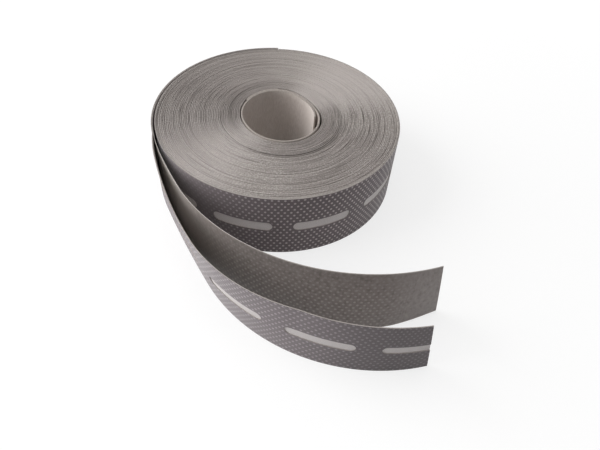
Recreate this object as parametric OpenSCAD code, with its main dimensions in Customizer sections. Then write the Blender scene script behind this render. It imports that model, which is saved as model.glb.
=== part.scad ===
// Roll of vented dust tape standing on its flat side, with its free end drawn off the roll
// and the release liner parted from the tape.
// Millimetres. The origin is on the roll's axis at the table, +Z runs up that axis,
// and the free ends run out towards -Y and then +X.

/* [Roll] */
// Width of the tape, which is the height of the roll
tape_w = 25; // [15:1:60]
// Outside diameter of the roll over its last turn
roll_d = 87; // [70:1:110]
// Bore of the rolled card core
core_bore_d = 25.4; // [20:0.1:40]
// Thickness of the core's card
core_t = 0.6; // [0.4:0.1:1.2]
// Angle that the core's card overlaps itself
core_overlap = 150; // [60:5:200]
// Angle over which the core's card climbs past its inner end
core_climb = 70; // [50:5:80]

/* [Winding] */
// Loops shown on the faces of the wound pack
loops_shown = 18; // [8:1:24]
// Gap between one shown loop and the next
loop_gap = 0.45; // [0.42:0.01:0.6]
// Depth of the gaps between the shown loops
loop_relief = 0.6; // [0.3:0.1:1.5]

/* [Tape layers] */
// Thickness of the dotted carrier
carrier_t = 0.26; // [0.15:0.01:0.5]
// Thickness of the filter strip and of the adhesive lanes
bond_t = 0.1; // [0.05:0.01:0.2]
// Thickness of the release liner
liner_t = 0.1; // [0.06:0.01:0.2]
// Width of the filter strip behind the slots
filter_w = 9; // [6:0.5:10]
// Distance of each adhesive lane from the tape's edge
lane_inset = 0.8; // [0.4:0.1:1.4]
// Distance of each adhesive lane from the filter strip
lane_gap = 0.8; // [0.4:0.1:1.4]

/* [Vent slots] */
// Length of a slot
slot_l = 20; // [12:0.5:22]
// Width of a slot
slot_w = 3.6; // [2:0.1:5]
// Distance from one slot to the next along the tape
slot_pitch = 27; // [25:0.5:40]
// Middle of the first slot past the peel line
slot_first = 11; // [10.5:0.5:15]
// Angle of a slot on the roll's outer turn
slot_angle = 259.4; // [250:0.1:270]

/* [Free end] */
// Angle where the roll's outer turn passes into the lead
lead_start = 95; // [80:1:110]
// Angle where the lead leaves the roll
leave_angle = 196; // [190:0.5:202]
// Length of the lead from there to the peel line
lead_free_l = 4.5; // [4:0.5:5]
// Bend radius of the lead and of the first run of both ends
lead_bend_r = 69; // [60:1:90]
// Length of that first run past the peel line
first_run_l = 11.5; // [8:0.5:16]
// Length of the liner's wide run
liner_wide_l = 15.5; // [10:0.5:25]
// Bend radius of the liner's wide run
liner_wide_r = 200; // [120:10:200]
// Bend radius of the liner's last run
liner_last_r = 65; // [55:1:80]
// Length of the liner's free end along its lower edge
liner_l = 121.5; // [100:0.5:150]
// Length of the tape's wide run
tape_wide_l = 37; // [25:1:50]
// Bend radius of the tape's wide run
tape_wide_r = 400; // [240:10:600]
// Bend radius of the tape's last run
tape_last_r = 59; // [45:1:70]
// Length of the tape's free end along its lower edge
tape_l = 124.5; // [110:0.5:150]
// Most that the tape leans outward at its top edge
lean_most = 8.5; // [0:0.5:14]
// Lean that is left along the tape's last length
lean_end = 3.25; // [0:0.25:5]
// Length of tape over which the lean grows and dies down
lean_l = 86; // [60:1:110]
// How much shorter the upper edge is at both cut ends
end_slant = 4.5; // [0:0.5:8]

/* [Clearances] */
// Gap between layers that are stuck or wound together
layer_gap = 0.03; // [0.02:0.01:0.06]
// Gap between the core's two plies of card
core_gap = 0.5; // [0.1:0.05:0.8]
// Gap between the core and the winding
core_clear = 0.2; // [0.1:0.05:0.5]
// Gap between the wound pack and the outer turn
turn_clear = 0.1; // [0.08:0.01:0.3]
// Running gap between the roll and the lead
lead_clear = 0.3; // [0.25:0.05:0.6]
// Gap across the joins between turn, lead and free ends
seam_gap = 0.1; // [0.05:0.05:0.3]

/* [Hidden] */
$fn = 96;

card_colour = [0.60, 0.57, 0.55];
wound_colour = [0.62, 0.60, 0.58];
carrier_colour = [0.34, 0.32, 0.32];
filter_colour = [0.68, 0.66, 0.66];
adhesive_colour = [0.50, 0.48, 0.46];
liner_colour = [0.42, 0.41, 0.40];

// Layers of one ply, measured outward from the liner's inner face
liner_at = [0, liner_t];
bond_at = [liner_at[1] + layer_gap, liner_at[1] + layer_gap + bond_t];
carrier_at = [bond_at[1] + layer_gap, bond_at[1] + layer_gap + carrier_t];
ply_t = carrier_at[1];
turn_pitch = ply_t + layer_gap;

// Bands of each layer across the width of the tape
whole_band = [0, tape_w];
filter_band = [tape_w/2 - filter_w/2, tape_w/2 + filter_w/2];
lower_band = [lane_inset, filter_band[0] - lane_gap];
upper_band = [filter_band[1] + lane_gap, tape_w - lane_inset];
band_levels = concat([0], lower_band, filter_band, upper_band, [tape_w]);

// Radii of the roll
core_r = core_bore_d/2;
core_out_r = core_r + 2*core_t + core_gap;
pack_in_r = core_out_r + core_clear;
roll_r = roll_d/2;
pack_out_r = roll_r - ply_t - turn_pitch - turn_clear;
lead_r = roll_r + lead_clear;

// Degrees of turn in a length of arc
function arc_deg(length, r) = length/r * 180/PI;
function arc_len(deg, r) = deg*PI/180 * r;

// Shown loops: a flat band that winds outward without a break
loop_sides = 24;
loop_inset = 0.2;
loop_pitch = (pack_out_r - pack_in_r - loop_inset + loop_gap)/(loops_shown + 1);
band_t = loop_pitch - loop_gap;
band_steps = loops_shown*loop_sides;
function band_r(i) = pack_in_r + loop_inset + loop_pitch*i/loop_sides;
function on_circle(r, deg) = [r*cos(deg), r*sin(deg)];
function band_inner(i) = on_circle(band_r(i), i*360/loop_sides);
function band_outer(i) = on_circle(band_r(i) + band_t, i*360/loop_sides);
function halfway(a, b) = (a + b)/2;
least_loop_gap = min([
    for (i = [0:band_steps - loop_sides - 1])
        min(
            norm(band_inner(i + loop_sides) - band_outer(i)),
            norm(
                halfway(band_inner(i + loop_sides), band_inner(i + loop_sides + 1))
                - halfway(band_outer(i), band_outer(i + 1))
            )
        )
]);
echo(str("least gap between the shown loops: ", least_loop_gap, " mm"));

// The outer turn climbs one ply in a full turn
turn_step = 5;
turn_gap = arc_deg(seam_gap, roll_r);
function turn_r(deg) = pack_out_r + turn_clear + turn_pitch*(deg - lead_start)/360;
turn_angles = [
    for (k = [0:360/turn_step])
        lead_start + min(k*turn_step, 360 - turn_gap)
];

// A place along a strip is [point, heading]; a run is [length, bend radius]
function along(at, length, r) =
    let(h = at[1], h2 = h + arc_deg(length, r))
    [at[0] + r*[sin(h2) - sin(h), cos(h) - cos(h2)], h2];
function follow(at, runs, s, i = 0) =
    s <= runs[i][0] || i == len(runs) - 1
        ? along(at, s, runs[i][1])
        : follow(along(at, runs[i][0], runs[i][1]), runs, s - runs[i][0], i + 1);

station_l = 3;
lead_wrap_l = arc_len(leave_angle - lead_start, lead_r);
lead_l = lead_wrap_l + lead_free_l;
lead_begin = [on_circle(lead_r, lead_start), lead_start + 90];
lead_runs = [[lead_wrap_l, lead_r], [lead_free_l, lead_bend_r]];
peel = follow(lead_begin, lead_runs, lead_l);
liner_runs = [[first_run_l, lead_bend_r], [liner_wide_l, liner_wide_r], [liner_l, liner_last_r]];
tape_runs = [[first_run_l, lead_bend_r], [tape_wide_l, tape_wide_r], [tape_l, tape_last_r]];

// Lean of the free tape at a place along it: it grows from the peel line and dies down to the last lean
function tape_lean(s) =
    let(part = min(1, s/lean_l))
    lean_most*sin(180*part) + lean_end*part;

// The cut end slants back over a short run before it
slant_run = 15;
function slanted(s, length, v) =
    s - end_slant*v/tape_w*max(0, s - (length - slant_run))/slant_run;

// Point on a strip: s along it, o outward through the ply and v up across its width
function strip_point(at, lean, o, v) =
    let(
        n = [sin(at[1]), -cos(at[1])],
        out = o*cos(lean) + v*sin(lean),
        up = v*cos(lean) + (ply_t - o)*sin(lean)
    )
    [at[0][0] + n[0]*out, at[0][1] + n[1]*out, up];

function stations(from, to) =
    let(count = ceil((to - from)/station_l))
    [for (k = [0:count]) from + (to - from)*k/count];

// Upright strip cut from an outline: points on both sides of a row of [point, heading] places
module upright_strip(places, layer, band) {
    inner = [for (at = places) at[0] + layer[0]*[sin(at[1]), -cos(at[1])]];
    outer = [for (at = places) at[0] + layer[1]*[sin(at[1]), -cos(at[1])]];
    last = len(places) - 1;
    outline = concat(outer, [for (i = [last:-1:0]) inner[i]]);
    translate([0, 0, band[0]])
        linear_extrude(band[1] - band[0])
            polygon(outline);
}

// Free strip that may lean, swept as rings: up the outer face, then down the inner one.
// Layers that lie on each other share their levels and diagonals, so their faces stay parallel.
module free_strip(runs, length, layer, levels, leans) {
    steps = stations(seam_gap, length);
    top = len(levels) - 1;
    ring = concat(
        [for (j = [0:top]) [layer[1], levels[j]]],
        [for (j = [top:-1:0]) [layer[0], levels[j]]]
    );
    n = len(ring);
    points = [
        for (s = steps)
            for (c = ring)
                let(place = slanted(s, length, c[1]))
                strip_point(follow(peel, runs, place), leans ? tape_lean(place) : 0, c[0], c[1])
    ];
    last = n*(len(steps) - 1);
    sides = [
        for (base = [0:n:last - n])
            for (k = [0:n - 1])
                let(a = base + k, b = base + (k + 1) % n)
                each k <= top
                    ? [[a, b, a + n], [b, b + n, a + n]]
                    : [[a, b, b + n], [a, b + n, a + n]]
    ];
    caps = [
        for (j = [0:top - 1])
            let(a = j, b = j + 1, c = n - 2 - j, d = n - 1 - j)
            each [[a, c, b], [a, d, c], [last + a, last + b, last + c], [last + a, last + c, last + d]]
    ];
    polyhedron(points, concat(sides, caps));
}

// Slot with round ends, cut through a strip along the local Y
slot_depth = 6;
slot_sides = 12;
module slot_cut() {
    cube([slot_l - slot_w, slot_depth, slot_w], center = true);
    for (side = [-1, 1])
        translate([side*(slot_l - slot_w)/2, 0, 0])
            rotate([90, 0, 0])
                cylinder(d = slot_w, h = slot_depth, center = true, $fn = slot_sides);
}

module slot_at(at, lean) {
    mid = strip_point(at, lean, carrier_at[0], tape_w/2);
    translate(mid)
        rotate([lean, 0, at[1]])
            slot_cut();
}

// Strip of the outer turn, laid over the wound pack
module turn_strip(layer, band) {
    places = [for (deg = turn_angles) [on_circle(turn_r(deg), deg), deg + 90]];
    upright_strip(places, layer, band);
}

// Strip of the lead, which hugs the roll and then leaves it
module lead_strip(layer, band) {
    places = [for (s = stations(seam_gap, lead_l - seam_gap)) follow(lead_begin, lead_runs, s)];
    upright_strip(places, layer, band);
}

module tail_strip(layer, levels) {
    free_strip(tape_runs, tape_l, layer, levels, true);
}

// Card sheet rolled on itself: inner ply, climb past the inner end, outer ply
module core_sleeve() {
    ply_lift = core_t + core_gap;
    first_ply = 360 - core_climb;
    climb_step = 5;
    bite = 2;
    skin = 0.04;
    climb_angles = [for (deg = [first_ply - bite:climb_step:360]) deg];
    function ease(x) = x <= 0 ? 0 : x >= 1 ? 1 : x*x*(3 - 2*x);
    function climb_r(deg) = core_r + skin + ply_lift*ease((deg - first_ply)/core_climb);
    angles = concat(climb_angles, [360 + bite]);
    last = len(angles) - 1;
    outline = concat(
        [for (deg = angles) on_circle(climb_r(deg) + core_t - 2*skin, deg)],
        [for (i = [last:-1:0]) on_circle(climb_r(angles[i]), angles[i])]
    );
    color(card_colour)
        union() {
            rotate_extrude(angle = first_ply)
                translate([core_r, 0])
                    square([core_t, tape_w]);
            linear_extrude(tape_w)
                polygon(outline);
            rotate_extrude(angle = core_overlap)
                translate([core_r + ply_lift, 0])
                    square([core_t, tape_w]);
        }
}

// Turns of tape and liner wound together: a plain core with the loops standing on both faces
module wound_pack() {
    outline = concat(
        [for (i = [0:band_steps]) band_outer(i)],
        [for (i = [band_steps:-1:0]) band_inner(i)]
    );
    color(wound_colour)
        union() {
            translate([0, 0, loop_relief])
                rotate_extrude()
                    translate([pack_in_r, 0])
                        square([pack_out_r - pack_in_r, tape_w - 2*loop_relief]);
            linear_extrude(tape_w)
                polygon(outline);
        }
}

module outer_carrier() {
    slot_turn = arc_deg(slot_pitch, roll_r);
    first = -floor((slot_angle - lead_start - slot_turn/2)/slot_turn);
    count = floor(360/slot_turn);
    color(carrier_colour)
        difference() {
            turn_strip(carrier_at, whole_band);
            for (k = [first:first + count - 1])
                let(deg = slot_angle + k*slot_turn)
                slot_at([on_circle(turn_r(deg), deg), deg + 90], 0);
        }
}

module outer_filter() {
    color(filter_colour) turn_strip(bond_at, filter_band);
}

module outer_adhesive_upper() {
    color(adhesive_colour) turn_strip(bond_at, upper_band);
}

module outer_adhesive_lower() {
    color(adhesive_colour) turn_strip(bond_at, lower_band);
}

module outer_liner() {
    color(liner_colour) turn_strip(liner_at, whole_band);
}

module lead_carrier() {
    color(carrier_colour)
        difference() {
            lead_strip(carrier_at, whole_band);
            for (s = [lead_l + slot_first - slot_pitch:-slot_pitch:slot_l/2])
                slot_at(follow(lead_begin, lead_runs, s), 0);
        }
}

module lead_filter() {
    color(filter_colour) lead_strip(bond_at, filter_band);
}

module lead_adhesive_upper() {
    color(adhesive_colour) lead_strip(bond_at, upper_band);
}

module lead_adhesive_lower() {
    color(adhesive_colour) lead_strip(bond_at, lower_band);
}

module lead_liner() {
    color(liner_colour) lead_strip(liner_at, whole_band);
}

module tail_carrier() {
    color(carrier_colour)
        difference() {
            tail_strip(carrier_at, band_levels);
            for (s = [slot_first:slot_pitch:tape_l])
                slot_at(follow(peel, tape_runs, s), tape_lean(s));
        }
}

module tail_filter() {
    color(filter_colour) tail_strip(bond_at, filter_band);
}

module tail_adhesive_upper() {
    color(adhesive_colour) tail_strip(bond_at, upper_band);
}

module tail_adhesive_lower() {
    color(adhesive_colour) tail_strip(bond_at, lower_band);
}

module liner_tail() {
    color(liner_colour) free_strip(liner_runs, liner_l, liner_at, whole_band, false);
}

core_sleeve();
wound_pack();
outer_carrier();
outer_filter();
outer_adhesive_upper();
outer_adhesive_lower();
outer_liner();
lead_carrier();
lead_filter();
lead_adhesive_upper();
lead_adhesive_lower();
lead_liner();
tail_carrier();
tail_filter();
tail_adhesive_upper();
tail_adhesive_lower();
liner_tail();
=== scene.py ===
import math

import bpy
import numpy as np
from mathutils import Matrix, Vector


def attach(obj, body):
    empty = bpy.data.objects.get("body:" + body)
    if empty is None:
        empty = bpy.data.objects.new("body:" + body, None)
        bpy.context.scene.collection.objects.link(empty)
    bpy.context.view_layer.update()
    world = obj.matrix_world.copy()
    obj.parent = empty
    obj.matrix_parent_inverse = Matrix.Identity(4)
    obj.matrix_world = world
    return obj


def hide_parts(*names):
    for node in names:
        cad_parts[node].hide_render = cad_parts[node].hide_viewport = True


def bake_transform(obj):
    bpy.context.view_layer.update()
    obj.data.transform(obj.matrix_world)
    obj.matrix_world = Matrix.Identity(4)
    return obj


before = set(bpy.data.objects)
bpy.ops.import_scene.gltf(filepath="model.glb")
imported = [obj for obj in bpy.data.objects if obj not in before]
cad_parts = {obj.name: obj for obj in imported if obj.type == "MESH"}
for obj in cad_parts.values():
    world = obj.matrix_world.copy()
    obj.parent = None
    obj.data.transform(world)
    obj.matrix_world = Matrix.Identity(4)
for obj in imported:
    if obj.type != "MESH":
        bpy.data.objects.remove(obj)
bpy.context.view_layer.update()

mm = 0.001

# Roll
tape_w = 25*mm
roll_r = 43.5*mm
pack_out_r = 42.33*mm
turn_clear = 0.1*mm
turn_pitch = 0.55*mm
seam_gap = 0.1*mm

# Layers of one ply, measured outward from the liner's inner face
ply_t = 0.52*mm
liner_layer = (0.0, 0.1*mm)
bond_layer = (0.13*mm, 0.23*mm)
carrier_layer = (0.26*mm, 0.52*mm)

# Bands across the width of the tape
filter_band = (8*mm, 17*mm)
lower_lane = (0.8*mm, 7.2*mm)
upper_lane = (17.8*mm, 24.2*mm)

# Outer turn
turn_mean_r = pack_out_r + turn_clear + turn_pitch/2 + ply_t/2
turn_l = 2*math.pi*turn_mean_r - seam_gap

# Rolled card of the core
core_t = 0.6*mm
card_mean_r = 13.7*mm
card_wrap = math.radians(510)
card_l = card_mean_r*card_wrap
card_edge = 0.12*mm

# Inner face of the rolled card, by degrees from its inner end: it bulges at the front, flat at the right
card_line = [
    (0, 12.75), (25, 12.5), (49, 12.5), (76, 13.4), (104, 14.0), (132, 13.5), (160, 12.9),
    (181, 12.7), (219, 12.8), (250, 13.8), (287, 15.2), (311, 15.35), (335, 14.95), (360, 14.2),
    (385, 13.3), (409, 13.16), (436, 14.06), (464, 14.66), (492, 14.16), (510, 13.68)
]

# Turns under the outer one, from the core outward
wound_turns = 50
wound_sides = 96
wound_turn_l = 178*mm
wound_liner_layer = (0.0, 0.09*mm)
wound_tape_layer = (0.11*mm, 0.48*mm)
wound_edge = 0.07*mm
wound_edge_share = 0.3
liner_sunk = 0.05*mm

# Inner face of the winding, by degrees round the roll
winding_line = [
    (0, 15.1), (25, 13.98), (49, 13.82), (76, 14.72), (104, 15.32), (132, 14.82), (150, 14.36),
    (165, 13.8), (181, 13.55), (219, 13.7), (250, 14.72), (287, 16.1), (311, 16.25), (335, 15.85)
]

# One slack turn leaves a gap on one side of the roll, and a few inner turns have sunk on the other
slack_turn = 11.8
slack_gap = 0.3*mm
slack_arc = (140, 400)
dip_turn = 5.6
dip_depth = 0.16*mm
dip_spread = 1.1
dip_arc = (60, 250)

# Cut edges of the turns: how far they stand out of line, as a steady rise and two that waver
edge_room = 0.34*mm
edge_rise = 0.13*mm
fine_waver, fine_knots = 0.05*mm, 7.3
slow_waver, slow_knots = 0.03*mm, 2.1
edge_rise_most = 0.26*mm
inner_rise = 0.12*mm
lower_edge_share = 0.6
waver_knots = 900
waver_seed = 7
wavers = np.random.default_rng(waver_seed).normal(0, 1, (2, waver_knots))

# Lead: the length drawn off round the roll, up to the peel line
lead_r = 43.8*mm
lead_start = math.radians(95)
leave_angle = math.radians(196)
lead_free_l = 4.5*mm
lead_bend_r = 69*mm
lead_wrap_l = (leave_angle - lead_start)*lead_r
lead_l = lead_wrap_l + lead_free_l
lead_runs = [(lead_wrap_l, lead_r), (lead_free_l, lead_bend_r)]
lead_begin = (lead_r*math.cos(lead_start), lead_r*math.sin(lead_start), lead_start + math.pi/2)

# Free ends: runs of (length, bend radius) from the peel line
liner_runs = [(11.5*mm, lead_bend_r), (15.5*mm, 200*mm), (94.5*mm, 65*mm)]
tape_runs = [(11.5*mm, lead_bend_r), (37*mm, 400*mm), (76*mm, 59*mm)]
liner_l = 121.5*mm
tape_l = 124.5*mm
lean_most = math.radians(8.5)
lean_end = math.radians(3.25)
lean_l = 86*mm
end_slant = 4.5*mm
slant_run = 15*mm

# How far the lower edge of a free end bows outward, by millimetres from the peel line
liner_foot = [
    (-85, 0), (20, 0), (45, 0), (70, 0.9), (90, 1.5), (104, 1.2), (111, 0.4), (117, -0.2), (126, -0.6)
]
tape_foot = [(-85, 0), (126, 0)]

# Vent slots
vent_l = 20*mm
vent_w = 3.6*mm
vent_pitch = 27*mm
vent_first = 11*mm
vent_angle = math.radians(259.4)
vent_turn = vent_pitch/roll_r
turn_vents = math.floor(2*math.pi/vent_turn)
free_vent_counts = range(-3, 5)

# Bond points pressed into the carrier: a staggered lattice that steps whole mesh columns and rows
web_rows = 76
web_column = 0.5075*mm
point_step = 4
point_pitch = point_step*web_column
row_pitch = point_step*tape_w/web_rows
stagger = 0.5
point_depth = 0.05*mm
point_spread = 0.3*mm

# Columns and rows of mesh in the other strips
card_mesh = (240, 10)
turn_mesh = (240, 4)
free_mesh = (200, 6)
liner_mesh = (300, 12)

# A cut edge this near to a slot's outline is drawn onto it
rim_reach = 0.6*web_column

edge_segments = 2
edge_angle = math.radians(50)
smooth_angle = math.radians(38)


# Shaping

def deselect():
    bpy.ops.object.select_all(action="DESELECT")


def points_of(piece):
    flat = np.empty(3*len(piece.data.vertices))
    piece.data.vertices.foreach_get("co", flat)
    return flat.reshape(-1, 3)


def set_points(piece, points):
    piece.data.vertices.foreach_set("co", np.ascontiguousarray(points, dtype=np.float32).ravel())
    piece.data.update()


def flat_strip(name, span, band, columns, rows):
    """A flat strip of web: x runs along it and y across it, face up."""
    deselect()
    bpy.ops.mesh.primitive_grid_add(x_subdivisions=columns, y_subdivisions=rows, size=1)
    strip = bpy.context.object
    strip.name = strip.data.name = name
    bpy.ops.object.mode_set(mode="EDIT")
    bpy.ops.mesh.select_all(action="SELECT")
    bpy.ops.transform.resize(value=(span[1] - span[0], band[1] - band[0], 1), center_override=(0, 0, 0))
    bpy.ops.transform.translate(value=((span[0] + span[1])/2, (band[0] + band[1])/2, 0))
    bpy.ops.object.mode_set(mode="OBJECT")
    return strip


def to_vent(x, y, place):
    """Nearest point on a slot's middle line and the way from it to (x, y)."""
    half = (vent_l - vent_w)/2
    middle = np.clip(x, place - half, place + half)
    return middle, x - middle, y - tape_w/2


def punch_vents(strip, places):
    """Punch the slots out of a flat strip and draw their cut edges onto the round outline."""
    mesh = strip.data
    centres = np.empty(3*len(mesh.polygons))
    mesh.polygons.foreach_get("center", centres)
    centres = centres.reshape(-1, 3)
    inside = np.zeros(len(centres), bool)
    for place in places:
        _, dx, dy = to_vent(centres[:, 0], centres[:, 1], place)
        inside |= np.hypot(dx, dy) < vent_w/2
    bpy.context.tool_settings.mesh_select_mode = (False, False, True)
    bpy.ops.object.mode_set(mode="EDIT")
    bpy.ops.mesh.select_all(action="DESELECT")
    bpy.ops.object.mode_set(mode="OBJECT")
    mesh.polygons.foreach_set("select", inside)
    bpy.ops.object.mode_set(mode="EDIT")
    bpy.ops.mesh.delete(type="FACE")
    bpy.ops.object.mode_set(mode="OBJECT")
    edge_of_corner = np.empty(len(mesh.loops), np.int32)
    mesh.loops.foreach_get("edge_index", edge_of_corner)
    ends = np.empty(2*len(mesh.edges), np.int32)
    mesh.edges.foreach_get("vertices", ends)
    cut = np.bincount(edge_of_corner, minlength=len(mesh.edges)) == 1
    rim = np.unique(ends.reshape(-1, 2)[cut])
    points = points_of(strip)
    for place in places:
        middle, dx, dy = to_vent(points[rim, 0], points[rim, 1], place)
        away = np.hypot(dx, dy)
        near = np.abs(away - vent_w/2) < rim_reach
        scale = vent_w/2/away[near]
        points[rim[near], 0] = middle[near] + dx[near]*scale
        points[rim[near], 1] = tape_w/2 + dy[near]*scale
    set_points(strip, points)


def press_bond_points(strip, start):
    """Dimple a flat strip at each bond point of the lattice, counted from its start."""
    points = points_of(strip)
    row = np.round((points[:, 1] - tape_w/2)/row_pitch)
    along = (points[:, 0] - start)/point_pitch - stagger*(row % 2)
    dx = (along - np.round(along))*point_pitch
    dy = points[:, 1] - tape_w/2 - row*row_pitch
    points[:, 2] -= point_depth*np.exp(-(dx**2 + dy**2)/point_spread**2)
    set_points(strip, points)


def give_thickness(strip, thickness):
    """Thicken a strip away from its face; its cut edges take the second finish."""
    ply = strip.modifiers.new("ply", "SOLIDIFY")
    ply.thickness = thickness
    ply.offset = -1
    ply.use_rim = True
    ply.material_offset_rim = 1
    bpy.ops.object.modifier_apply(modifier=ply.name)


def soften_edges(piece, width):
    """Round the long cut edges of a flat piece."""
    edge = piece.modifiers.new("edge", "BEVEL")
    edge.width = width
    edge.segments = edge_segments
    edge.limit_method = "ANGLE"
    edge.angle_limit = edge_angle
    edge.material = 1
    bpy.ops.object.modifier_apply(modifier=edge.name)


def lay(strip, start, place):
    """Lay a flat strip where it belongs, and keep its flat place in millimetres on the mesh as web."""
    flat = points_of(strip)
    web = strip.data.attributes.new("web", "FLOAT_VECTOR", "POINT")
    kept = (flat - np.array([start, 0, 0]))/mm
    web.data.foreach_set("vector", kept.astype(np.float32).ravel())
    set_points(strip, np.stack(place(flat[:, 0], flat[:, 1], flat[:, 2]), axis=1))
    deselect()
    strip.select_set(True)
    bpy.context.view_layer.objects.active = strip
    bpy.ops.object.shade_smooth_by_angle(angle=smooth_angle)


# Where the strips run

def eased(part):
    """A share from 0 to 1 that starts and ends gently."""
    return part*part*(3 - 2*part)


def smooth_line(knots, at):
    """A smooth curve through knots of (place, millimetres), in metres."""
    k, r = (np.array(part, float) for part in zip(*knots))
    slope = np.gradient(r, k)
    i = np.clip(np.searchsorted(k, at, side="right") - 1, 0, len(k) - 2)
    step = k[i + 1] - k[i]
    t = (at - k[i])/step
    ends = (1 + 2*t)*(1 - t)**2*r[i] + eased(t)*r[i + 1]
    bends = t*(1 - t)**2*slope[i] - t*t*(1 - t)*slope[i + 1]
    return (ends + bends*step)*mm


def ring_line(knots, angle):
    """A smooth closed curve round the roll."""
    around = [(k - 360, r) for k, r in knots] + knots + [(k + 360, r) for k, r in knots]
    return smooth_line(around, np.mod(np.degrees(angle), 360))


def follow(begin, runs, s):
    """x, y and heading at lengths s along a route of arcs."""
    x0, y0, h0 = begin
    x, y, h = np.zeros_like(s), np.zeros_like(s), np.zeros_like(s)
    passed = 0.0
    s = np.clip(s, 0, None)
    for length, bend in runs:
        here = s >= passed
        turned = h0 + (s[here] - passed)/bend
        x[here] = x0 + bend*(np.sin(turned) - math.sin(h0))
        y[here] = y0 + bend*(math.cos(h0) - np.cos(turned))
        h[here] = turned
        h1 = h0 + length/bend
        x0 += bend*(math.sin(h1) - math.sin(h0))
        y0 += bend*(math.cos(h0) - math.cos(h1))
        h0 = h1
        passed += length
    return x, y, h


def slanted(s, length, v):
    """The free ends are cut on a slant, so the upper edge is the shorter one."""
    return s - end_slant*v/tape_w*np.clip((s - length + slant_run)/slant_run, 0, None)


def free_place(runs, length, face, lean_share, foot):
    """Places on the lead and one free end, s from the peel line; face is its outer face in the ply.

    The strip leans out by a share of the tape's lean, and its lower edge bows out along the foot line.
    """
    def place(s, v, o):
        s = slanted(s, length, v)
        x, y, h = follow(lead_begin, lead_runs + runs, s + lead_l)
        part = np.clip(s/lean_l, 0, 1)
        lean = (lean_most*np.sin(math.pi*part) + lean_end*part)*lean_share
        depth = face + o
        out = depth*np.cos(lean) + v*np.sin(lean) + smooth_line(foot, s/mm)*(1 - v/tape_w)
        up = v*np.cos(lean) + (ply_t - depth)*np.sin(lean)
        return x + out*np.sin(h), y - out*np.cos(h), up
    return place


def turn_place(face):
    """Places on the roll's outer turn, s from where the turn starts."""
    def place(s, v, o):
        part = s/turn_mean_r
        r = pack_out_r + turn_clear + turn_pitch*part/(2*math.pi) + face + o
        return r*np.cos(lead_start + part), r*np.sin(lead_start + part), v
    return place


def card_place(s, v, o):
    """Places on the rolled card of the core, s from its inner end."""
    angle = s/card_mean_r
    r = smooth_line(card_line, np.degrees(angle)) + core_t + o
    return r*np.cos(angle), r*np.sin(angle), v


def wavering(turn, row, knots):
    """A value that wavers smoothly along the winding, with so many knots a turn."""
    at = turn*knots
    k = np.floor(at).astype(int)
    part = eased(at - k)
    values = wavers[row]
    return values[k % waver_knots]*(1 - part) + values[(k + 1) % waver_knots]*part


def swell(angle, first, last):
    """Rises from 0 to 1 and falls again between two angles in degrees."""
    part = (np.mod(np.degrees(angle) - first, 360))/(last - first)
    return np.where(part < 1, np.sin(math.pi*np.clip(part, 0, 1))**2, 0)


def wound_place(face, sunk):
    """Places in the winding, s along it; sunk lets a layer's edges stand back from the others."""
    def place(s, v, o):
        turn = s/wound_turn_l
        angle = lead_start + 2*math.pi*(turn - wound_turns)
        slack = slack_gap*swell(angle, *slack_arc)
        past = eased(np.clip(turn - slack_turn + 0.5, 0, 1))
        first_r = ring_line(winding_line, angle)
        last_r = pack_out_r + turn_clear
        r = first_r + (last_r - first_r - slack)*turn/wound_turns + slack*past + face + o
        waver = fine_waver*wavering(turn, 0, fine_knots)
        rise = edge_rise + waver + slow_waver*wavering(turn, 1, slow_knots)
        rise = np.clip(rise, 0, edge_rise_most) + inner_rise*(1 - past)
        rise = rise - dip_depth*np.exp(-((turn - dip_turn)/dip_spread)**2)*swell(angle, *dip_arc)
        upper = v - edge_room + rise - sunk
        lower = v + np.maximum(rise, 0)*lower_edge_share + sunk
        z = np.where(v > tape_w/2, upper, lower)
        return r*np.cos(angle), r*np.sin(angle), z
    return place


# Finishes

# Where most values of a noise lie
noise_span = (0.3, 0.7)

# Rims of the bond points: how coarse and how wide they fray, in millimetres
fray_scale = 2.2
fray_w = 0.22


class Nodes:
    """A shader under construction: its nodes and links."""

    def __init__(self, tree):
        self.tree = tree

    def node(self, kind, **settings):
        made = self.tree.nodes.new(kind)
        for key, value in settings.items():
            setattr(made, key, value)
        return made

    def feed(self, socket, value):
        if isinstance(value, bpy.types.NodeSocket):
            self.tree.links.new(value, socket)
        else:
            socket.default_value = value

    def math(self, operation, a, b=0.0):
        made = self.node("ShaderNodeMath", operation=operation)
        self.feed(made.inputs[0], a)
        self.feed(made.inputs[1], b)
        return made.outputs[0]

    def times(self, a, b):
        return self.math("MULTIPLY", a, b)

    def minus(self, a, b):
        return self.math("SUBTRACT", a, b)

    def size(self, value):
        return self.math("ABSOLUTE", value)

    def length(self, x, y):
        return self.math("SQRT", self.math("ADD", self.times(x, x), self.times(y, y)))

    def from_whole(self, count):
        """How far a count lies from the nearest whole one."""
        return self.minus(count, self.math("ROUND", count))

    def ramp(self, value, low, high, to_low=0.0, to_high=1.0, shape="SMOOTHSTEP"):
        made = self.node("ShaderNodeMapRange", interpolation_type=shape)
        for socket, number in zip(made.inputs, (value, low, high, to_low, to_high)):
            self.feed(socket, number)
        return made.outputs[0]

    def axes(self, vector):
        made = self.node("ShaderNodeSeparateXYZ")
        self.feed(made.inputs[0], vector)
        return made.outputs

    def seen_rays(self):
        """1 for the rays that show a thing, also in or through another one, and 0 for those that light."""
        path = self.node("ShaderNodeLightPath").outputs
        beyond = self.math("MAXIMUM", path["Is Glossy Ray"], path["Is Transmission Ray"])
        return self.math("MAXIMUM", path["Is Camera Ray"], beyond)


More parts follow.
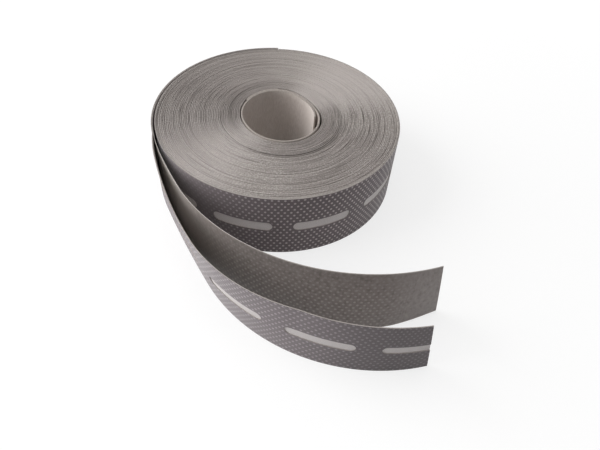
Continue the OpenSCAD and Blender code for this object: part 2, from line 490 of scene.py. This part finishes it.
class Finish(Nodes):
    """A material under construction."""

    def __init__(self, name):
        self.material = bpy.data.materials.new(name)
        self.material.use_nodes = True
        super().__init__(self.material.node_tree)
        self.skin = self.tree.nodes["Principled BSDF"]

    def mix(self, share, a, b):
        made = self.node("ShaderNodeMix", data_type="RGBA")
        self.feed(made.inputs[0], share)
        self.feed(made.inputs[6], a)
        self.feed(made.inputs[7], b)
        return made.outputs[2]

    def web(self):
        return self.node("ShaderNodeAttribute", attribute_name="web").outputs["Vector"]

    def place(self):
        return self.node("ShaderNodeTexCoord").outputs["Object"]

    def stretched(self, vector, scale):
        made = self.node("ShaderNodeMapping")
        self.feed(made.inputs["Vector"], vector)
        made.inputs["Scale"].default_value = scale
        return made.outputs[0]

    def noise(self, vector, scale, detail=2.0, roughness=0.5):
        made = self.node("ShaderNodeTexNoise")
        self.feed(made.inputs["Vector"], vector)
        made.inputs["Scale"].default_value = scale
        made.inputs["Detail"].default_value = detail
        made.inputs["Roughness"].default_value = roughness
        return made.outputs["Fac"]

    def felted(self, fibres, crossing):
        """Two ways of fibres laid over each other."""
        return self.times(self.math("ADD", fibres, crossing), 0.5)

    def bond_points(self, near, far):
        """1 inside each bond point of the lattice and 0 between them."""
        x, y, _ = self.axes(self.web())
        across = self.math("DIVIDE", self.minus(y, tape_w/2/mm), row_pitch/mm)
        row = self.math("ROUND", across)
        shift = self.times(self.math("FLOORED_MODULO", row, 2.0), stagger)
        along = self.minus(self.math("DIVIDE", x, point_pitch/mm), shift)
        dx = self.times(self.from_whole(along), point_pitch/mm)
        dy = self.times(self.minus(across, row), row_pitch/mm)
        frayed = self.times(self.minus(self.noise(self.web(), fray_scale), 0.5), fray_w)
        return self.ramp(self.math("ADD", self.length(dx, dy), frayed), far, near)

    def from_vents(self, first, pitch):
        """Millimetres from the nearest slot's outline on a web that has a slot at first."""
        x, y, _ = self.axes(self.web())
        along = self.math("DIVIDE", self.minus(x, first), pitch)
        dx = self.times(self.from_whole(along), pitch)
        dx = self.math("MAXIMUM", self.minus(self.size(dx), (vent_l - vent_w)/2/mm), 0.0)
        dy = self.minus(y, tape_w/2/mm)
        return self.minus(self.length(dx, dy), vent_w/2/mm)

    def relief(self, height, strength, distance):
        made = self.node("ShaderNodeBump")
        made.inputs["Strength"].default_value = strength
        made.inputs["Distance"].default_value = distance
        self.feed(made.inputs["Height"], height)
        self.feed(self.skin.inputs["Normal"], made.outputs[0])

    def surface(self, colour, rough, shine):
        self.feed(self.skin.inputs["Base Color"], colour)
        self.feed(self.skin.inputs["Roughness"], rough)
        self.skin.inputs["Specular IOR Level"].default_value = shine

    def sheen(self, weight, roughness):
        self.skin.inputs["Sheen Weight"].default_value = weight
        self.skin.inputs["Sheen Roughness"].default_value = roughness


def tone(red, green, blue):
    """A colour as it looks on a screen, 0 to 255, as the shader takes it."""
    parts = [c/255 for c in (red, green, blue)]
    return [c/12.92 if c <= 0.04045 else ((c + 0.055)/1.055)**2.4 for c in parts] + [1.0]


def dotted_nonwoven(name, far_dots, dots_shaded, painted_end_shade, first_vent, next_vent):
    """The carrier's web, its dots changing to far_dots along it and fading next to a slot.

    One web may have its dots faded in one place and its far end greyed, both painted shade.
    """
    near_dots = tone(182, 173, 176)
    dark, light = tone(107, 98, 100), tone(140, 130, 133)
    clouded = tone(133, 122, 126)
    end_shade_tone = tone(54, 46, 47)
    dot_rim = (0.26, 0.46)
    vent_margin = (0.15, 0.6)
    dots_change = (100.0, 160.0)
    end_shade_run = (160.0, 196.0)
    dots_shade_place = 92.0
    dots_shade_run = (12.0, 38.0)
    dots_shown = 0.9
    dots_sunk = 0.35
    made = Finish(name)
    web = made.web()
    x = made.axes(web)[0]
    clear = made.ramp(made.from_vents(first_vent, next_vent), *vent_margin)
    points = made.times(made.bond_points(*dot_rim), clear)
    # Painted highlight: where far_dots are paler, the dots brighten along the web.
    dots = made.mix(made.ramp(x, *dots_change), near_dots, far_dots)
    fibres = made.noise(made.stretched(web, (1.0, 3.4, 1.0)), scale=1.9, detail=4.0, roughness=0.62)
    crossing = made.noise(made.stretched(web, (3.6, 1.1, 1.0)), scale=1.7, detail=4.0, roughness=0.62)
    felted = made.felted(fibres, crossing)
    cloud = made.noise(web, scale=0.16)
    base = made.mix(made.ramp(felted, 0.32, 0.68), dark, light)
    base = made.mix(made.ramp(cloud, *noise_span, to_high=0.35), base, clouded)
    # Painted shade: the dots fade around one place along the web.
    from_dots_shade = made.size(made.minus(x, dots_shade_place))
    left = made.ramp(from_dots_shade, *dots_shade_run, to_low=dots_shown*(1 - dots_shaded), to_high=dots_shown)
    colour = made.mix(made.times(points, left), base, dots)
    # Painted shade: the far end of the web is greyed.
    colour = made.mix(made.ramp(x, *end_shade_run, to_high=painted_end_shade), colour, end_shade_tone)
    made.surface(colour, made.ramp(points, 0.0, 1.0, to_low=0.68, to_high=0.52), shine=0.2)
    made.relief(made.minus(felted, made.times(points, dots_sunk)), strength=0.55, distance=0.12*mm)
    made.sheen(weight=0.35, roughness=0.45)
    return made.material


def cut_nonwoven():
    dark, light = tone(146, 139, 135), tone(184, 177, 172)
    drifted = tone(138, 131, 127)
    made = Finish("cut nonwoven edge")
    web = made.web()
    specks = made.noise(made.stretched(web, (1.6, 6.0, 6.0)), scale=1.4, detail=3.0, roughness=0.6)
    drift = made.noise(made.stretched(web, (0.05, 1.0, 1.0)), scale=1.0)
    colour = made.mix(made.ramp(specks, *noise_span), dark, light)
    colour = made.mix(made.ramp(drift, 0.35, 0.65, to_high=0.3), colour, drifted)
    made.surface(colour, made.ramp(specks, *noise_span, to_low=0.72, to_high=0.88), shine=0.3)
    made.relief(specks, strength=0.4, distance=0.1*mm)
    return made.material


def wound_edges():
    """Cut edges of the turns: streaks in rings and specks, with painted shade and sheen round the roll."""
    dark, light = tone(161, 154, 149), tone(178, 172, 167)
    clouded = tone(168, 161, 158)
    grained = tone(146, 139, 134)
    dark_speck, pale_speck = tone(136, 130, 126), tone(204, 198, 193)
    line_shade_tone = tone(98, 92, 88)
    inner_tone = tone(126, 119, 115)
    sheen_lobe_tone, shade_lobe_tone = tone(194, 186, 183), tone(132, 124, 121)
    left_shade_tone = tone(122, 115, 112)
    gap_shade_tone = tone(112, 106, 102)
    ring_scale = (1.8, 1.8, 2500.0)
    inner_turns = (15.0, 7.0)
    slack_middle, slack_reach, slack_share = slack_turn + 0.6, 2.6, 0.6
    dip_reach, dip_share = 2.4, 0.5
    made = Finish("edges of the winding")
    place = made.place()
    x, y, _ = made.axes(place)
    r = made.length(x, y)
    beside = made.math("DIVIDE", x, r)
    ahead = made.math("DIVIDE", y, r)
    ring = made.node("ShaderNodeCombineXYZ")
    for socket, way, scale in zip(ring.inputs, (beside, ahead, r), ring_scale):
        made.feed(socket, made.times(way, scale))
    streaks = made.noise(ring.outputs[0], scale=1.0, roughness=0.6)
    grain = made.noise(place, scale=2600.0, roughness=0.6)
    speckle = made.noise(place, scale=1700.0, roughness=0.6)
    broad = made.noise(place, scale=60.0)
    turn = made.math("DIVIDE", made.axes(made.web())[0], wound_turn_l/mm)
    colour = made.mix(made.ramp(streaks, 0.45, 0.75), dark, light)
    colour = made.mix(made.ramp(broad, *noise_span, to_high=0.3), colour, clouded)
    colour = made.mix(made.ramp(grain, 0.35, 0.7, to_high=0.25), colour, grained)
    open_side = made.ramp(ahead, 0.9, 0.1, to_low=0.25)
    dark_specks = made.times(made.ramp(speckle, 0.56, 0.36, to_high=0.6), open_side)
    pale_specks = made.times(made.ramp(speckle, 0.52, 0.68, to_high=0.6), open_side)
    colour = made.mix(dark_specks, colour, dark_speck)
    colour = made.mix(pale_specks, colour, pale_speck)
    # Painted shade: thin dark lines between the turns, stronger at the sides and faint at the back.
    lines = made.times(made.ramp(streaks, 0.48, 0.36), open_side)
    sides = made.ramp(made.size(beside), 0.1, 0.8, to_low=0.5)
    colour = made.mix(made.times(lines, sides), colour, line_shade_tone)
    colour = made.mix(made.ramp(turn, *inner_turns, to_high=0.45), colour, inner_tone)
    # Painted sheen and shade: paler towards the back right and front left, darker towards the back left and
    # front right.
    sheen_lobes = made.times(beside, ahead)
    colour = made.mix(made.ramp(sheen_lobes, 0.05, 0.5, to_high=0.5), colour, sheen_lobe_tone)
    colour = made.mix(made.ramp(sheen_lobes, 0.1, -0.45, to_high=0.4), colour, shade_lobe_tone)
    # Painted shade: darker on the left of the roll.
    colour = made.mix(made.ramp(beside, -0.6, -1.0, to_high=0.4), colour, left_shade_tone)
    # Painted shade along the slack turn's gap, on the right and front.
    slack = made.ramp(made.size(made.minus(turn, slack_middle)), slack_reach, 0.0)
    slack = made.times(slack, made.ramp(made.minus(beside, ahead), 0.0, 1.3))
    colour = made.mix(made.times(slack, slack_share), colour, gap_shade_tone)
    # Painted shade over the sunk inner turns, on the left.
    dip = made.ramp(made.size(made.minus(turn, dip_turn)), dip_reach, 0.0)
    dip_side = made.minus(made.times(ahead, 0.4), beside)
    dip = made.times(dip, made.ramp(dip_side, 0.3, 1.0))
    colour = made.mix(made.times(dip, dip_share), colour, gap_shade_tone)
    made.surface(colour, made.ramp(grain, *noise_span, to_low=0.66, to_high=0.84), shine=0.3)
    made.relief(grain, strength=0.35, distance=0.08*mm)
    return made.material


def release_paper():
    """The liner: painted light makes it paler next to the peel line, and it is duller further on, where the
    dots have worn in.
    """
    dark, light = tone(120, 114, 110), tone(142, 135, 131)
    dulled = tone(150, 140, 137)
    clouded = tone(138, 128, 125)
    dark_mottle, pale_mottle = tone(104, 98, 94), tone(172, 163, 159)
    peel_light_tone, peel_light_most_tone = tone(194, 186, 180), tone(226, 219, 213)
    slit_tone = tone(214, 207, 201)
    worn_tone = tone(188, 180, 175)
    dot_rim = (0.22, 0.5)
    dull_run = (110.0, 205.0)
    peel_light_run, peel_light_most_run = (146.0, 98.0), (124.0, 100.0)
    peel_light_band = (24.0, 11.0)
    slit_band, slit_share = (12.05, 12.35), 0.8
    worn_start, worn_stop = (108.0, 146.0), (198.0, 176.0)
    worn_band, worn_share, worn_sunk = (25.0, 12.0), 0.8, 1.2
    made = Finish("release paper")
    web = made.web()
    x, y, _ = made.axes(web)
    print_through = made.bond_points(*dot_rim)
    fine = made.noise(made.stretched(web, (0.7, 2.6, 1.0)), scale=1.6, detail=4.0, roughness=0.6)
    mottle = made.noise(made.stretched(web, (1.0, 0.6, 1.0)), scale=0.7, detail=3.0, roughness=0.65)
    cloud = made.noise(web, scale=0.11)
    colour = made.mix(made.ramp(fine, *noise_span), dark, light)
    colour = made.mix(made.ramp(x, *dull_run, to_high=0.75), colour, dulled)
    colour = made.mix(made.ramp(cloud, *noise_span, to_high=0.4), colour, clouded)
    colour = made.mix(made.ramp(mottle, 0.5, 0.3, to_high=0.55), colour, dark_mottle)
    colour = made.mix(made.ramp(mottle, 0.5, 0.7, to_high=0.45), colour, pale_mottle)
    # Painted light: paler next to the peel line, most in the lower part.
    lower = made.ramp(y, *peel_light_band, to_low=0.5)
    peel_light = made.times(made.ramp(x, *peel_light_run, to_high=0.85), lower)
    colour = made.mix(peel_light, colour, peel_light_tone)
    peel_light_most = made.times(made.ramp(x, *peel_light_most_run, to_high=0.8), lower)
    colour = made.mix(peel_light_most, colour, peel_light_most_tone)
    slit_edge = made.ramp(made.size(made.minus(y, tape_w/2/mm)), *slit_band)
    colour = made.mix(made.times(slit_edge, slit_share), colour, slit_tone)
    shown = made.times(made.ramp(x, *worn_start), made.ramp(x, *worn_stop))
    shown = made.times(shown, made.ramp(y, *worn_band, to_low=0.25))
    worn_in = made.times(shown, made.times(print_through, worn_share))
    colour = made.mix(worn_in, colour, worn_tone)
    made.surface(colour, made.ramp(fine, *noise_span, to_low=0.42, to_high=0.52), shine=0.45)
    made.relief(made.minus(fine, made.times(worn_in, worn_sunk)), strength=0.3, distance=0.06*mm)
    return made.material


def cut_paper():
    dark, light = tone(158, 152, 147), tone(206, 200, 194)
    made = Finish("cut paper edge")
    specks = made.noise(made.stretched(made.web(), (1.2, 4.0, 4.0)), scale=1.6, detail=3.0, roughness=0.6)
    colour = made.mix(made.ramp(specks, *noise_span), dark, light)
    made.surface(colour, made.ramp(specks, *noise_span, to_low=0.6, to_high=0.75), shine=0.35)
    return made.material


def pale_felt(name, dark, light):
    made = Finish(name)
    web = made.web()
    fibres = made.noise(made.stretched(web, (1.0, 4.2, 1.0)), scale=2.4, detail=5.0, roughness=0.65)
    crossing = made.noise(made.stretched(web, (4.4, 1.0, 1.0)), scale=2.0, detail=5.0, roughness=0.65)
    felted = made.felted(fibres, crossing)
    colour = made.mix(made.ramp(felted, 0.34, 0.66), dark, light)
    made.surface(colour, made.ramp(felted, *noise_span, to_low=0.8, to_high=0.95), shine=0.25)
    made.relief(felted, strength=0.6, distance=0.12*mm)
    made.sheen(weight=0.3, roughness=0.5)
    return made.material


def adhesive_coat():
    dark, light = tone(178, 173, 167), tone(198, 193, 187)
    blotched = tone(180, 173, 164)
    made = Finish("adhesive coat")
    web = made.web()
    combed = made.noise(made.stretched(web, (0.25, 5.0, 1.0)), scale=1.5, detail=3.0, roughness=0.55)
    blotch = made.noise(web, scale=0.35, detail=3.0)
    colour = made.mix(made.ramp(combed, 0.35, 0.65), dark, light)
    colour = made.mix(made.ramp(blotch, 0.4, 0.7, to_high=0.35), colour, blotched)
    made.surface(colour, made.ramp(blotch, *noise_span, to_low=0.22, to_high=0.36), shine=0.5)
    made.relief(combed, strength=0.35, distance=0.08*mm)
    return made.material


def core_board():
    dark, light = tone(176, 166, 160), tone(193, 184, 178)
    clouded = tone(179, 169, 161)
    flecked = tone(150, 140, 132)
    pale = tone(218, 209, 203)
    lit_wall_run = (15.0, 3.0)
    made = Finish("core card")
    web = made.web()
    fibres = made.noise(made.stretched(web, (2.2, 0.6, 1.0)), scale=1.1, detail=4.0, roughness=0.6)
    cloud = made.noise(web, scale=0.18, detail=3.0)
    flecks = made.noise(web, scale=3.4, roughness=0.7)
    colour = made.mix(made.ramp(fibres, *noise_span), dark, light)
    colour = made.mix(made.ramp(cloud, 0.35, 0.7, to_high=0.45), colour, clouded)
    colour = made.mix(made.ramp(flecks, 0.66, 0.74, to_high=0.25), colour, flecked)
    # Painted light: paler near the card's inner end, on the right wall of the hole.
    colour = made.mix(made.ramp(made.axes(web)[0], *lit_wall_run, to_high=0.6), colour, pale)
    made.surface(colour, made.ramp(cloud, *noise_span, to_low=0.5, to_high=0.62), shine=0.4)
    made.relief(fibres, strength=0.25, distance=0.08*mm)
    return made.material


def cut_board():
    dark, light = tone(140, 132, 126), tone(174, 166, 159)
    made = Finish("cut card edge")
    layers = made.noise(made.stretched(made.web(), (0.8, 0.8, 9.0)), scale=1.5, detail=3.0, roughness=0.6)
    colour = made.mix(made.ramp(layers, *noise_span), dark, light)
    made.surface(colour, made.ramp(layers, *noise_span, to_low=0.7, to_high=0.85), shine=0.3)
    made.relief(layers, strength=0.4, distance=0.1*mm)
    return made.material


# On the roll, the dots are painted paler towards the front right as a painted highlight, and faded at the
# left front as painted shade.
dotted = dotted_nonwoven(
    "dotted nonwoven", far_dots=tone(232, 223, 222), dots_shaded=0.85, painted_end_shade=0.0,
    first_vent=(vent_angle - lead_start)*turn_mean_r/mm, next_vent=vent_turn*turn_mean_r/mm
)
dotted_end = dotted_nonwoven(
    "handled dotted nonwoven", far_dots=tone(178, 168, 172), dots_shaded=0.0, painted_end_shade=0.58,
    first_vent=(lead_l + vent_first)/mm, next_vent=vent_pitch/mm
)
dotted_cut = cut_nonwoven()
winding = wound_edges()
paper = release_paper()
paper_cut = cut_paper()
# Lit and shaded copies of one felt: the roll's is painted paler and the free end's darker.
felt = pale_felt("pale felt", dark=tone(230, 223, 222), light=tone(250, 244, 243))
felt_shaded_copy = pale_felt("handled pale felt", dark=tone(206, 199, 198), light=tone(234, 227, 226))
coat = adhesive_coat()
board = core_board()
board_cut = cut_board()


def finish_with(piece, face, cut):
    piece.data.materials.append(face)
    piece.data.materials.append(cut)


# Pieces

def rolled_core():
    card = flat_strip("core_card", (0, card_l), (0, tape_w), *card_mesh)
    finish_with(card, board, board_cut)
    give_thickness(card, core_t)
    soften_edges(card, card_edge)
    lay(card, 0, card_place)
    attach(card, "roll")
    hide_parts("core_sleeve")


def wound_layer(name, layer, sunk):
    strip = flat_strip(name, (0, wound_turns*wound_turn_l), (0, tape_w), wound_turns*wound_sides, 1)
    finish_with(strip, winding, winding)
    thickness = layer[1] - layer[0]
    give_thickness(strip, thickness)
    soften_edges(strip, min(wound_edge, wound_edge_share*thickness))
    lay(strip, 0, wound_place(layer[1], sunk))
    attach(strip, "roll")
    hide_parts("wound_pack")
    return strip


def web_columns(length):
    return round(length/web_column)


def outer_carrier_web():
    web = flat_strip("outer_turn_carrier", (0, turn_l), (0, tape_w), web_columns(turn_l), web_rows)
    finish_with(web, dotted, dotted_cut)
    first = -math.floor((vent_angle - lead_start - vent_turn/2)/vent_turn)
    angles = [vent_angle + k*vent_turn for k in range(first, first + turn_vents)]
    press_bond_points(web, 0)
    punch_vents(web, [(a - lead_start)*turn_mean_r for a in angles])
    give_thickness(web, carrier_layer[1] - carrier_layer[0])
    lay(web, 0, turn_place(carrier_layer[1]))
    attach(web, "roll")
    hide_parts("outer_carrier")
    return web


def outer_backing(name, band, face, node):
    strip = flat_strip(name, (0, turn_l), band, *turn_mesh)
    finish_with(strip, face, face)
    give_thickness(strip, bond_layer[1] - bond_layer[0])
    lay(strip, 0, turn_place(bond_layer[1]))
    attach(strip, "roll")
    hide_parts(node)
    return strip


def outer_liner_sheet():
    sheet = flat_strip("outer_turn_liner", (0, turn_l), (0, tape_w), *turn_mesh)
    finish_with(sheet, paper, paper_cut)
    give_thickness(sheet, liner_layer[1] - liner_layer[0])
    lay(sheet, 0, turn_place(liner_layer[1]))
    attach(sheet, "roll")
    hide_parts("outer_liner")
    return sheet


peel_x, peel_y, peel_h = (part[0] for part in follow(lead_begin, lead_runs, np.array([lead_l])))


def bend_at_peel(piece):
    """Bake a free end's placement into its mesh; this does not bend it."""
    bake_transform(piece)


def tape_place(layer):
    return free_place(tape_runs, tape_l, face=layer[1], lean_share=1, foot=tape_foot)


def free_carrier_web():
    span = (-lead_l, tape_l)
    columns = web_columns(span[1] - span[0])
    web = flat_strip("free_tape_carrier", span, (0, tape_w), columns, web_rows)
    finish_with(web, dotted_end, dotted_cut)
    places = [vent_first + k*vent_pitch for k in free_vent_counts]
    press_bond_points(web, -lead_l)
    punch_vents(web, [s for s in places if s - vent_l/2 > -lead_l])
    give_thickness(web, carrier_layer[1] - carrier_layer[0])
    lay(web, -lead_l, tape_place(carrier_layer))
    bend_at_peel(web)
    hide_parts("lead_carrier", "tail_carrier")
    return web


def free_backing(name, band, face, nodes):
    strip = flat_strip(name, (-lead_l, tape_l), band, *free_mesh)
    finish_with(strip, face, face)
    give_thickness(strip, bond_layer[1] - bond_layer[0])
    lay(strip, -lead_l, tape_place(bond_layer))
    bend_at_peel(strip)
    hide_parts(*nodes)
    return strip


def free_liner_sheet():
    sheet = flat_strip("free_liner", (-lead_l, liner_l), (0, tape_w), *liner_mesh)
    finish_with(sheet, paper, paper_cut)
    give_thickness(sheet, liner_layer[1] - liner_layer[0])
    lay(sheet, -lead_l, free_place(liner_runs, liner_l, face=liner_layer[1], lean_share=0, foot=liner_foot))
    bend_at_peel(sheet)
    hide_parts("lead_liner", "liner_tail")
    return sheet


rolled_core()
wound_tape = wound_layer("wound_tape", wound_tape_layer, sunk=0.0)
wound_liner = wound_layer("wound_liner", wound_liner_layer, sunk=liner_sunk)
outer_tape = outer_carrier_web()
outer_felt = outer_backing("outer_turn_filter", filter_band, felt, "outer_filter")
outer_lanes = [
    outer_backing("outer_turn_lane_upper", upper_lane, coat, "outer_adhesive_upper"),
    outer_backing("outer_turn_lane_lower", lower_lane, coat, "outer_adhesive_lower"),
]
free_tape = free_carrier_web()
filter_nodes = ("lead_filter", "tail_filter")
free_felt = free_backing("free_tape_filter", filter_band, felt_shaded_copy, filter_nodes)
upper_nodes = ("lead_adhesive_upper", "tail_adhesive_upper")
lower_nodes = ("lead_adhesive_lower", "tail_adhesive_lower")
free_lanes = [
    free_backing("free_tape_lane_upper", upper_lane, coat, upper_nodes),
    free_backing("free_tape_lane_lower", lower_lane, coat, lower_nodes),
]
free_liner = free_liner_sheet()
outer_liner = outer_liner_sheet()


# Studio

white = tone(255, 255, 255)

# Floor: its tone for the rays that light and for those that show it, and its glow by metres from the roll
floor_size = 6
floor_lit, floor_shown = tone(190, 190, 190), tone(149, 149, 149)
glow_run = (0.1, 0.7)
glow_share = (0.71, 1.0)

# Sky: brighter overhead, by the height of the way looked along
sky_heights = (0.1, 0.9)
sky_strengths = (0.06, 0.7)

# Camera fitted to the rims of the roll
camera_place = (10.83*mm, -163.2*mm, 145.7*mm)
camera_tilt = math.radians(47.54)
camera_roll = math.radians(4.60)
camera_lens = 33.6
camera_sensor_w = 36
camera_near = 5*mm


def studio_floor():
    deselect()
    bpy.ops.mesh.primitive_plane_add(size=floor_size)
    floor = bpy.context.object
    floor.name = "studio_floor"
    made = Finish("studio floor")
    seen = made.seen_rays()
    made.surface(made.mix(seen, floor_lit, floor_shown), rough=0.9, shine=0.1)
    x, y, _ = made.axes(made.place())
    glow = made.ramp(made.length(x, y), *glow_run, *glow_share)
    made.feed(made.skin.inputs["Emission Color"], white)
    made.feed(made.skin.inputs["Emission Strength"], made.times(seen, glow))
    floor.data.materials.append(made.material)


def studio_sky():
    """A soft sky for the rays that light, and plain white for those that show it."""
    world = bpy.data.worlds.new("studio")
    bpy.context.scene.world = world
    world.use_nodes = True
    world.node_tree.nodes.clear()
    made = Nodes(world.node_tree)
    height = made.axes(made.node("ShaderNodeTexCoord").outputs["Generated"])[2]
    soft = made.node("ShaderNodeBackground")
    made.feed(soft.inputs["Color"], white)
    made.feed(soft.inputs["Strength"], made.ramp(height, *sky_heights, *sky_strengths, shape="LINEAR"))
    plain = made.node("ShaderNodeBackground")
    made.feed(plain.inputs["Color"], white)
    made.feed(plain.inputs["Strength"], 1.0)
    joined = made.node("ShaderNodeMixShader")
    for socket, value in zip(joined.inputs, (made.seen_rays(), soft.outputs[0], plain.outputs[0])):
        made.feed(socket, value)
    made.feed(made.node("ShaderNodeOutputWorld").inputs["Surface"], joined.outputs[0])


def lamp(name, place, towards, size, power):
    deselect()
    bpy.ops.object.light_add(type="AREA", location=place)
    made = bpy.context.object
    made.name = name
    made.data.shape = "DISK"
    made.data.size = size
    made.data.energy = power
    made.rotation_euler = (Vector(towards) - Vector(place)).to_track_quat("-Z", "Y").to_euler()


def photo_camera():
    right = Vector((1, 0, 0))
    up = Vector((0, math.sin(camera_tilt), math.cos(camera_tilt)))
    back = Vector((0, -math.cos(camera_tilt), math.sin(camera_tilt)))
    deselect()
    bpy.ops.object.camera_add()
    camera = bpy.context.object
    camera.data.sensor_width = camera_sensor_w
    camera.data.sensor_fit = "HORIZONTAL"
    camera.data.lens = camera_lens
    camera.data.clip_start = camera_near
    x = math.cos(camera_roll)*right + math.sin(camera_roll)*up
    y = -math.sin(camera_roll)*right + math.cos(camera_roll)*up
    turn = Matrix((x, y, back)).transposed().to_4x4()
    camera.matrix_world = Matrix.Translation(camera_place) @ turn
    bpy.context.scene.camera = camera


studio_floor()
studio_sky()
lamp("left_softbox", place=(-0.9, 0.0, 0.45), towards=(0, -0.02, 0.01), size=1.2, power=13.6)
lamp("top_softbox", place=(0.1, 0.0, 0.9), towards=(0, 0, 0), size=0.6, power=0.5)
photo_camera()
bpy.context.scene.view_settings.view_transform = "Standard"
